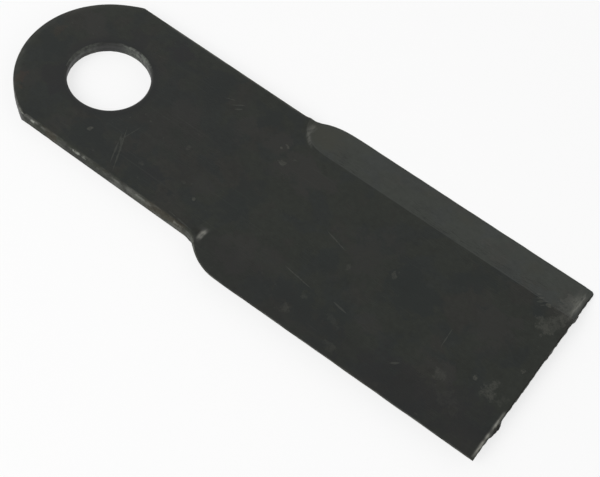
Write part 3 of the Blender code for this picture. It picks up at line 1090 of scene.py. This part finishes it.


# %% [markdown]
# ## The forged faces
#
# Both broad faces and the wedges in them are one finish, because the press smeared the same
# scale. The wedges are paler, partly from their thinly drawn scale and partly as painted light
# that their tilt catches, with a warm painted lit band at the upper wedge's shank end. Their
# scale is dragged into dark streaks along the edge. The larger tint patches lie where the
# photograph has them, as soft-edged flakes.

# %% Where the marks and patches lie, in millimetres
SCRATCHES = (  # x and y of one end, x and y of the other, width
    (17.7, -11.7, 25.2, -27.8, 0.5), (17.9, -14.5, 22.6, -26, 0.42), (20.8, -9, 18.6, -19.5, 0.35),
    (86, -19.8, 97.5, -21.2, 0.45), (104.5, -20.4, 110, -21.2, 0.5), (88.6, -1.3, 97.5, -3.6, 0.42),
    (137.4, -4.5, 137.9, -12, 0.3), (128.6, -26.8, 131.6, -24.2, 0.6), (33.4, 18.3, 36.8, 19.8, 0.5),
    (36.6, 17.3, 40.4, 20.2, 0.5), (38.6, 16.6, 40.8, 18.6, 0.5), (151.6, 21, 153.8, 23.4, 0.7),
    (152.4, 20.2, 155.4, 23, 0.8), (153.9, 19.8, 156, 21.8, 0.6), (151, 22.6, 152.4, 24, 0.6),
    (161.6, 12.6, 161.3, 19, 0.9), (162.6, 23, 162.9, 29.6, 1), (18.4, -15.6, 20.6, -18.6, 0.6),
    (46.6, -27.4, 58, -28.6, 0.3),
)
FLAKES = (  # x, y, half length, half width, turn in radians, strength
    (159, 14.8, 3.8, 3.6, 0.3, 0.8), (161, 19.5, 2.6, 3.6, 0.2, 0.7), (160.8, 27.5, 2.6, 7, 0.1, 0.7),
    (156.7, -12.7, 1.9, 2.1, 0.3, 0.8), (156.8, -15.3, 2.9, 1.9, 0.6, 0.75),
    (155.4, -17, 1.1, 1.8, 0.5, 0.6), (156.2, 21.5, 0.9, 0.7, 0, 1), (161.6, -14.6, 1.2, 2, 0.3, 0.3),
    (151.2, -13.7, 0.8, 1, 0, 0.9), (161.3, -2.8, 0.8, 0.9, 0, 0.9), (161.3, -16, 1.4, 1.3, 0.3, 0.4),
    (142.9, -19.9, 2, 2.2, 0.4, 0.5), (149, -25, 5, 3, 0.4, 0.2), (59.4, 14.4, 0.7, 0.5, 0.6, 1),
    (60.4, 16.2, 1, 0.5, 0.5, 1), (62.7, 9.7, 1.5, 1.2, 0.5, 0.9), (9.5, -19.4, 0.7, 1.2, 0.5, 1),
    (50.6, -19.1, 0.8, 0.8, 0, 0.9), (30, -19.5, 1.2, 0.8, 0.4, 0.4), (12.3, -28.9, 0.8, 0.6, 0, 0.8),
    (44, -16.4, 1, 0.7, 0.2, 0.3), (37, -5, 1.2, 1.2, 0, 0.35), (113.5, -0.6, 1.6, 1, 0.9, 0.5),
    (101, -7.6, 1.4, 1, 0.9, 0.4), (94.4, -31.8, 1.8, 2.2, 0.2, 0.4), (112, -33.2, 2.2, 1.6, 0, 0.3),
    (97, -25, 1.2, 1, 0, 0.4), (107.5, -25.5, 3, 1.4, 0.4, 0.25),
)
BROWN_PATCHES = (
    (-17, 13, 8, 6, 0.7, 0.9), (28, 5, 6, 5, 0, 0.9), (46.5, 14, 7, 7, 0.2, 0.8), (57, 15, 6, 6, 0, 1),
    (69.5, 11.5, 12, 8, 0, 1), (49, -13, 5.5, 4.5, 0.5, 0.8), (72, -25, 9, 7, 0, 0.9),
    (1, -24, 6, 4.5, 0, 0.7), (-18, -18, 5, 5, 0, 0.6), (104, 0, 9, 12, 0.3, 0.7),
    (147, 5, 9, 9, 0.3, 0.8), (83, -22, 7, 6, 0, 0.6), (118, -20.5, 5.5, 5.5, 0.3, 0.7),
    (142.8, -19.3, 4.5, 3.8, 0, 1),
)
BLUE_PATCHES = (
    (29, 20, 8, 9, 0, 0.9), (49.5, 22, 7, 6, 0, 0.9), (12, 19, 8, 5, 0, 0.6), (-22, -2, 6, 7.5, 0, 0.9),
    (9, -21, 10, 7, 0, 0.9), (31, -21, 12, 7, 0, 0.9), (61, -9, 7, 12, 0.2, 0.7),
    (121, -1, 13, 9, 0.3, 0.9), (134, 13.5, 8, 7, 0.3, 0.8), (99, -27, 16, 7.5, 0, 0.9),
    (95.5, -9, 4.5, 5.5, 0, 0.7), (154.5, 17, 2.4, 2.8, 0.2, 1), (22, -2, 36, 36, 0, 0.15),
)
DULL_PATCHES = (
    (11, 23.5, 6, 6, 0, 0.8), (-3.5, 18.5, 5, 5, 0, 0.7), (-11, -10.5, 6, 7, 0.3, 0.8),
    (138, -30, 20, 8.5, 0, 0.6), (155, -25, 9, 9, 0, 0.6), (35.5, -20, 4, 3.5, 0, 0.6),
    (22, -2, 36, 36, 0, 0.2),
)
# warm patches in the wedge; the first and largest is a painted lit band at the upper wedge's shank end
WEDGE_WARM_AND_LIT_PATCHES = (
    (66, 29, 13, 10, 0, 1), (105, 33, 3, 3, 0.3, 0.6), (119, 33, 4, 3, 0.3, 0.6),
    (146, 32, 4, 4, 0.3, 0.5),
)
SIDE_SPOTS = (
    (12.5, -29.8, 3, 1.6, 0, 1), (-6, -29.8, 1.2, 1.6, 0, 1), (53, -29.8, 2.5, 0.9, 0, 0.3),
)
RUST = (
    (-24.8, 4.2, 1.6, 2.4, 0, 0.12), (-21, -20, 2.6, 3.8, 0, 0.2),
)
print(len(SCRATCHES), "scratches and", len(FLAKES), "flakes are placed one by one")

# %% The colours of the faces
BROWN_PATCH = screen(43.8, 43.8, 41)
BLUE_PATCH = screen(32, 36.2, 34.6)
DULL_PATCH = screen(33, 33.2, 34)
RING_PATCH = screen(32, 33.5, 33.5)
THIN_PATCH = screen(30, 30, 30.5)
# the wedge's tints are paler than the flat's, partly as painted light that the tilted wedge catches
DRAWN_AND_LIT_TINTS = {"Green": screen(46, 50, 44), "Brown": screen(48, 50, 44.5), "Blue": screen(45.5, 49.5, 46)}
WARM_DRAWN_AND_LIT = screen(49.5, 51, 42)
DRAGGED = screen(26, 29, 26)
SCRATCHED = screen(88, 90, 85)
LIFTED = screen(68, 69, 63)
RUSTY = screen(72, 52, 38)
BARE_CORNER = screen(96, 97, 92)
# a painted highlight, where the ledges, the wedges' ends and the sheared edge catch the light
HIGHLIGHT_PAINT = screen(206, 205, 194)
print("the brown patches as light:", [round(v, 4) for v in BROWN_PATCH[:3]])

# %% The scale on the flat and in the wedges


def new_finish(name, roughness, metallic):
    """A material whose shader is ready, with its node tree and the shader's inputs."""
    material = bpy.data.materials.new(name)
    material.use_nodes = True
    shader = material.node_tree.nodes["Principled BSDF"]
    shader.inputs["Roughness"].default_value = roughness
    shader.inputs["Metallic"].default_value = metallic
    shader.inputs["Specular IOR Level"].default_value = 0.4
    return material, material.node_tree, shader.inputs


def flat_scale(tree, place, behind):
    """The flat's scale: drifting tints, the placed patches, and duller skin by the hole and the far wedge."""
    tint = use(tree, SCALE_TINTS, {"Vector": place, "Mottle": 0.8})
    for marks, shade in ((BROWN_PATCHES, BROWN_PATCH), (BLUE_PATCHES, BLUE_PATCH),
                         (DULL_PATCHES, DULL_PATCH)):
        patched = flakes(tree, place, marks, 0.5, 3.4, 170)
        tint = blend(tree, times(tree, patched, 0.9), tint, shade)
    ring = smooth_step(tree, vector_number(tree, "LENGTH", place), 18.5 * MM, 15 * MM)
    tint = blend(tree, times(tree, ring, 0.8), tint, RING_PATCH)
    backed = calc(tree, "MULTIPLY_ADD", noise(tree, place, 110, 3, 0.6), 2.4, calc(tree, "ADD", behind, -1.2))
    return blend(tree, times(tree, smooth_step(tree, backed, 0.2, 1.7), 0.3), tint, THIN_PATCH)


def wedge_scale(tree, place, sunk):
    """The wedge's scale: paler tints, partly painted light, a warm painted lit band and dark dashes along the
    edge. Returns the dashes too.
    """
    drawn_and_lit = use(tree, SCALE_TINTS, {"Vector": place, "Mottle": 0.8, **DRAWN_AND_LIT_TINTS})
    drawn_and_lit = blend(tree, flakes(tree, place, WEDGE_WARM_AND_LIT_PATCHES, 0.9, 1.6, 150), drawn_and_lit, WARM_DRAWN_AND_LIT)
    dash = noise(tree, stretched(tree, place, (300, 1700, 1700), 0.012), 1, 3, 0.6)
    dash = times(tree, smooth_step(tree, dash, 0.53, 0.62), smooth_step(tree, sunk, 2.4, 0.7))
    dash = times(tree, dash, smooth_step(tree, noise(tree, place, 75, 2), 0.42, 0.58))
    return blend(tree, times(tree, dash, 0.7), drawn_and_lit, DRAGGED), dash


def face_marks(tree, place):
    """Two masks: the scratches, and where the scale lifted. The placed ones are on the upper face only."""
    upper = smooth_step(tree, part_of(tree, place, 2), 0.4 * THICKNESS, 0.5 * THICKNESS)
    hair = use(tree, HAIRLINES, {"Vector": place, "Share": 0.22})
    scratched = calc(tree, "MAXIMUM", hair, times(tree, scratches(tree, place, SCRATCHES), upper))
    lifted = times(tree, flakes(tree, place, FLAKES, 0.4), upper)
    lifted = times(tree, lifted, smooth_step(tree, noise(tree, place, 900, 4, 0.7), 0.30, 0.62))
    specks = smooth_step(tree, noise(tree, place, 640, 3, 0.6), 0.66, 0.76)
    specks = times(tree, specks, smooth_step(tree, noise(tree, place, 50, 2), 0.46, 0.6))
    return scratched, calc(tree, "MAXIMUM", lifted, times(tree, specks, 0.45))


# %% The face finish


def face_finish():
    """Dull scale with its marks over it, bare at the corners, with painted highlights on ledges, wedge ends
    and tip.
    """
    material, tree, shader = new_finish("forging_scale", 0.5, 0.0)
    place = add(tree, "TexCoord", output="Object")
    sunk = kept(tree, "sunk")
    wedge_colour, dash = wedge_scale(tree, place, sunk)
    scratched, lifted = face_marks(tree, place)
    bare = use(tree, EDGE_WEAR, {"Vector": place, "Rim": kept(tree, "rim"), "Reach": 0.45})
    bare = times(tree, bare, smooth_step(tree, sunk, 2.2, 0.8))
    # the painted highlights, broken into streaks
    streaky = noise(tree, stretched(tree, place, (1500, 260, 260), 0.3), 1, 3, 0.6)
    highlight = times(tree, kept(tree, "painted_highlight"), smooth_step(tree, streaky, 0.25, 0.6))

    flat_colour = flat_scale(tree, place, kept(tree, "behind"))
    colour = blend(tree, smooth_step(tree, sunk, 0.01, 0.12), flat_colour, wedge_colour)
    colour = blend(tree, times(tree, scratched, 0.6), colour, SCRATCHED)
    colour = blend(tree, lifted, colour, LIFTED)
    colour = blend(tree, flakes(tree, place, RUST, 0.3, 5.2), colour, RUSTY)
    colour = blend(tree, times(tree, bare, 0.7), colour, BARE_CORNER)
    colour = blend(tree, times(tree, highlight, 0.9), colour, HIGHLIGHT_PAINT)
    tree.links.new(colour, shader["Base Color"])

    rough = calc(tree, "MULTIPLY_ADD", noise(tree, place, 90, 4, 0.6), 0.18, 0.42)
    tree.links.new(calc(tree, "MULTIPLY_ADD", lifted, -0.08, rough), shader["Roughness"])
    metal = times(tree, calc(tree, "MAXIMUM", bare, scratched), 0.6)
    tree.links.new(calc(tree, "MULTIPLY_ADD", highlight, 0.4, metal), shader["Metallic"])

    height = use(tree, SCALE_PITS, {"Vector": place, "Size": 1100.0, "Share": 0.8})
    height = calc(tree, "MULTIPLY_ADD", noise(tree, place, 700, 4, 0.6), 0.5, height)
    for mark, depth in ((scratched, -0.5), (lifted, -1.2), (dash, -0.8)):
        height = calc(tree, "MULTIPLY_ADD", mark, depth, height)
    relief = add(tree, "Bump", {"Strength": 0.5, "Distance": 0.03 * MM, "Height": height})
    tree.links.new(relief, shader["Normal"])
    return material


blade_mesh.materials.append(face_finish())
print(blade_mesh.materials[FACE].name, "has", len(blade_mesh.materials[FACE].node_tree.nodes), "nodes")

# %% [markdown]
# ## The rolled sides
#
# The bar's long sides were rolled, so their marks run lengthwise. They are paler than the faces,
# and bare steel shows at a few spots on the near one.

# %% The side finish
SIDE_TINTS = {"Green": screen(55, 57, 51), "Brown": screen(58, 56, 49), "Blue": screen(54, 55, 52)}
SIDE_PATCH = screen(72, 73, 66)
SIDE_BARE = screen(150, 152, 144)


def side_finish():
    """Streaky scale with worn patches, and bare corners where it was knocked."""
    material, tree, shader = new_finish("rolled_side", 0.45, 0.0)
    place = add(tree, "TexCoord", output="Object")
    tint = use(tree, SCALE_TINTS, {"Vector": place, "Mottle": 1.4, **SIDE_TINTS})
    streak = noise(tree, stretched(tree, place, (110, 1500, 1500)), 1, 3, 0.6)
    patch = noise(tree, stretched(tree, place, (130, 420, 420)), 1, 4, 0.65)
    patch = smooth_step(tree, patch, 0.44, 0.62)
    colour = blend(tree, times(tree, patch, 0.4), tint, SIDE_PATCH)
    spots = flakes(tree, place, SIDE_SPOTS, 0.4)
    bare = use(tree, EDGE_WEAR, {"Vector": place, "Rim": kept(tree, "rim"), "Reach": 0.8, "Ragged": 0.9})
    bare = times(tree, bare, smooth_step(tree, kept(tree, "sunk"), 2.2, 0.8))
    bare = times(tree, bare, calc(tree, "MAXIMUM", times(tree, patch, 0.15), spots))
    tree.links.new(blend(tree, bare, colour, SIDE_BARE), shader["Base Color"])
    tree.links.new(times(tree, bare, 0.7), shader["Metallic"])
    tree.links.new(calc(tree, "MULTIPLY_ADD", patch, -0.22, 0.78), shader["Roughness"])
    tree.links.new(calc(tree, "MULTIPLY_ADD", patch, 0.2, 0.15), shader["Specular IOR Level"])
    pits = use(tree, SCALE_PITS, {"Vector": place, "Size": 1500.0, "Share": 1.0})
    height = calc(tree, "MULTIPLY_ADD", streak, 1.4, calc(tree, "MULTIPLY_ADD", patch, 1.5, pits))
    relief = add(tree, "Bump", {"Strength": 0.8, "Distance": 0.06 * MM, "Height": height})
    tree.links.new(relief, shader["Normal"])
    return material


blade_mesh.materials.append(side_finish())
print(blade_mesh.materials[SIDE].name, "has", len(blade_mesh.materials[SIDE].node_tree.nodes), "nodes")

# %% [markdown]
# ## The cut walls
#
# The crop, the hole and the sheared tip are cuts: scored straight down where the tool slid, dull
# and torn below. The crop is bright. The hole's wall is darkened as painted shade, with pale specks
# of painted light on the two sides that face the lamp, and the tip is almost black, with painted
# highlights along its sheared edge.

# %% The cut finish
TORN_TINTS = {"Green": screen(44, 44, 41), "Brown": screen(52, 46, 40), "Blue": screen(42, 43, 43)}
SCORED = (screen(42, 43, 40), screen(58, 59, 56))
# painted shade inside the hole, and painted light on its two walls that face the lamp
HOLE_SHADE = screen(34, 35, 34)
HOLE_LIT = screen(82, 86, 79)
LIT_WALLS = (((-1.0, 0.12, 0), 0.6), ((0.1, 1.0, 0), 1.0))  # direction from the hole's axis, and strength
TIP_DARK = screen(30, 31, 25)
CUT_BARE = screen(120, 121, 114)
# a painted highlight on the sheared tip's cut faces, and a faint lighter rim on the crop
CUT_HIGHLIGHT_PAINT = screen(190, 190, 178)


def cut_scale(tree, place, score, land, in_hole, at_tip):
    """The cuts' colour before wear: scored above, torn below, painted shade in the hole with painted light on
    two walls, dark at the tip.
    """
    torn = use(tree, SCALE_TINTS, {"Vector": place, "Mottle": 0.7, **TORN_TINTS})
    colour = blend(tree, land, torn, blend(tree, smooth_step(tree, score, 0.36, 0.66), *SCORED))
    # painted light on the hole's two walls that face the lamp
    lit_sides = []
    for direction, strength in LIT_WALLS:
        along = vector_number(tree, "DOT_PRODUCT", place, direction)
        lit_sides.append(times(tree, strength, smooth_step(tree, along, 11.4 * MM, 13.4 * MM)))
    speck = smooth_step(tree, noise(tree, place, 700, 4, 0.7), 0.36, 0.64)
    colour = blend(tree, times(tree, in_hole, 0.75), colour, HOLE_SHADE)
    colour = blend(tree, times(tree, in_hole, strongest(tree, lit_sides), speck), colour, HOLE_LIT)
    return blend(tree, times(tree, at_tip, 0.85), colour, TIP_DARK)


def cut_finish():
    """Sheared steel: a burnished land over a torn half, with bare corners and painted highlights at the tip.
    """
    material, tree, shader = new_finish("cut_steel", 0.45, 0.0)
    place = add(tree, "TexCoord", output="Object")
    wander = calc(tree, "MULTIPLY_ADD", noise(tree, place, 230, 3, 0.6), 1.6 * MM, -0.8 * MM)
    land = calc(tree, "ADD", part_of(tree, place, 2), wander)
    land = smooth_step(tree, land, 0.42 * THICKNESS, 0.52 * THICKNESS)
    score = noise(tree, stretched(tree, place, (900, 900, 240)), 1, 4, 0.65)
    in_hole = smooth_step(tree, vector_number(tree, "LENGTH", place), 17 * MM, 15.5 * MM)
    at_tip = smooth_step(tree, part_of(tree, place, 0), 160 * MM, 162 * MM)
    bare = use(tree, EDGE_WEAR, {"Vector": place, "Rim": kept(tree, "rim"), "Reach": 0.4, "Ragged": 0.7})
    patch = smooth_step(tree, noise(tree, place, 190, 4, 0.65), 0.42, 0.6)
    bare = times(tree, bare, calc(tree, "MULTIPLY_ADD", patch, 0.6, 0.1))
    bare = times(tree, bare, calc(tree, "MULTIPLY_ADD", at_tip, -0.7, 1.0))
    # the painted highlights along the sheared edge
    highlight = kept(tree, "painted_highlight")
    colour = blend(tree, bare, cut_scale(tree, place, score, land, in_hole, at_tip), CUT_BARE)
    tree.links.new(blend(tree, highlight, colour, CUT_HIGHLIGHT_PAINT), shader["Base Color"])
    shiny = times(tree, land, calc(tree, "SUBTRACT", 1.0, calc(tree, "MAXIMUM", at_tip, in_hole)))
    tree.links.new(times(tree, strongest(tree, [shiny, highlight, bare]), 0.5), shader["Metallic"])
    tree.links.new(calc(tree, "MULTIPLY_ADD", land, -0.12, 0.62), shader["Roughness"])
    tree.links.new(calc(tree, "MULTIPLY_ADD", at_tip, -0.3, 0.4), shader["Specular IOR Level"])
    grain = times(tree, noise(tree, place, 1500, 4, 0.7), calc(tree, "SUBTRACT", 1.6, land))
    height = calc(tree, "MULTIPLY_ADD", score, times(tree, land, 0.8), grain)
    relief = add(tree, "Bump", {"Strength": 0.7, "Distance": 0.08 * MM, "Height": height})
    tree.links.new(relief, shader["Normal"])
    return material


blade_mesh.materials.append(cut_finish())
print(blade_mesh.materials[CUT].name, "has", len(blade_mesh.materials[CUT].node_tree.nodes), "nodes")

# %% [markdown]
# ## The studio
#
# A white table and a room that is bright all round and dimmer overhead. That is what makes dark
# flat steel readable: the broad face mirrors the dim part, and every edge, lip and wedge that
# leans away from level mirrors the bright part.

# %% The white table
TABLE_HALF = 3.0
TABLE_PAINT = (0.86, 0.86, 0.86, 1)  # for the light that it throws back on the blade
TABLE_SEEN = (0.26, 0.26, 0.26, 1)  # for the camera, and the glow makes up the rest of the white
TABLE_GLOW = 0.74


def seen_rays(tree):
    """1 for what the camera sees, straight or in a reflection or through glass, and 0 for other light."""
    total = add(tree, "LightPath", output="Is Camera Ray")
    for ray in ("Is Glossy Ray", "Is Transmission Ray"):
        total = calc(tree, "MAXIMUM", total, add(tree, "LightPath", output=ray))
    return total


def white_table():
    """A level sheet that glows to the camera, so it looks white and still takes a soft shadow."""
    mesh = bpy.data.meshes.new("table_top")
    corners = [(-TABLE_HALF, -TABLE_HALF, 0), (TABLE_HALF, -TABLE_HALF, 0),
               (TABLE_HALF, TABLE_HALF, 0), (-TABLE_HALF, TABLE_HALF, 0)]
    mesh.from_pydata(corners, [], [(0, 1, 2, 3)])
    table = bpy.data.objects.new("table_top", mesh)
    bpy.context.scene.collection.objects.link(table)
    material = bpy.data.materials.new("white_table")
    material.use_nodes = True
    tree = material.node_tree
    shader = tree.nodes["Principled BSDF"].inputs
    shader["Roughness"].default_value = 0.9
    shader["Specular IOR Level"].default_value = 0.1
    shader["Emission Color"].default_value = (1, 1, 1, 1)
    seen = seen_rays(tree)
    tree.links.new(blend(tree, seen, TABLE_PAINT, TABLE_SEEN), shader["Base Color"])
    tree.links.new(times(tree, seen, TABLE_GLOW), shader["Emission Strength"])
    mesh.materials.append(material)
    return table


table = white_table()
print("the table is", 2 * TABLE_HALF, "m wide")

# %% The room and the lamp
ROOM_LEVELS = {"From Min": 0.35, "From Max": 0.85, "To Min": 0.9, "To Max": 0.22}


def bright_room():
    """The world: white at the horizon and dimmer towards the ceiling."""
    world = bpy.data.worlds.new("bright_room")
    world.use_nodes = True
    tree = world.node_tree
    height = part_of(tree, add(tree, "TexCoord", output="Generated"), 2)
    level = add(tree, "MapRange", {"Value": height, **ROOM_LEVELS}, interpolation_type="SMOOTHSTEP")
    camera_ray = add(tree, "LightPath", output="Is Camera Ray")
    tree.links.new(calc(tree, "MAXIMUM", level, camera_ray), tree.nodes["Background"].inputs["Strength"])
    tree.nodes["Background"].inputs["Color"].default_value = (1, 1, 1, 1)
    bpy.context.scene.world = world


def soft_lamp(name, place, aim, size, power):
    """A round area lamp of the given width in metres and power in watts, turned to its aim."""
    light = bpy.data.lights.new(name, "AREA")
    light.shape = "DISK"
    light.size = size
    light.energy = power
    lamp = bpy.data.objects.new(name, light)
    lamp.location = place
    lamp.rotation_euler = (Vector(place) - Vector(aim)).to_track_quat("Z", "Y").to_euler()
    bpy.context.scene.collection.objects.link(lamp)


bright_room()
soft_lamp("key", (-0.49, -0.97, 1.0), (0.07, 0, 0), 1.2, 15.0)
bpy.context.scene.view_settings.view_transform = "Standard"
print("lamps in the scene:", len(bpy.data.lights))

# %% [markdown]
# ## Back to the frame
#
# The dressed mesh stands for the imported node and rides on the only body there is.

# %% Hand over
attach(blade, "root")
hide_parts("mulcher_blade")
